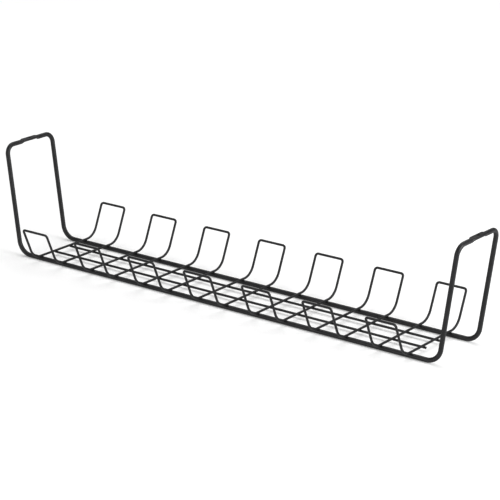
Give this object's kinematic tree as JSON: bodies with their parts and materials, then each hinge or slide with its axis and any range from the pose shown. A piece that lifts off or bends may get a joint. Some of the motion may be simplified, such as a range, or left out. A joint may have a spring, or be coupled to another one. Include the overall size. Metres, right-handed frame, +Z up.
{
  "type": "under-desk cable tray",
  "caption": "Black coated steel wire cable tray with a hanging hoop and screw pad at each end, a grid floor of cross and long wires and outward-leaning side loops",
  "frame": {"origin": "On the floor plane under the middle of the tray, which stands on its two frame runs; centre of the overall box in X and Y.", "axes": "+X along the tray, +Y across it, +Z up towards the desk. The tray is the same from both ends and both sides."},
  "size_m": [0.7006, 0.1584, 0.1498],
  "materials": {
    "black_coat": "satin powder coat"
  },
  "bodies": {
    "root": {"frame": "black_coat", "loop_1": "black_coat", "loop_2": "black_coat", "loop_3": "black_coat", "loop_4": "black_coat", "loop_5": "black_coat", "loop_6": "black_coat", "loop_7": "black_coat", "long_wire_front": "black_coat", "long_wire_rear": "black_coat"}
  },
  "joints": []
}
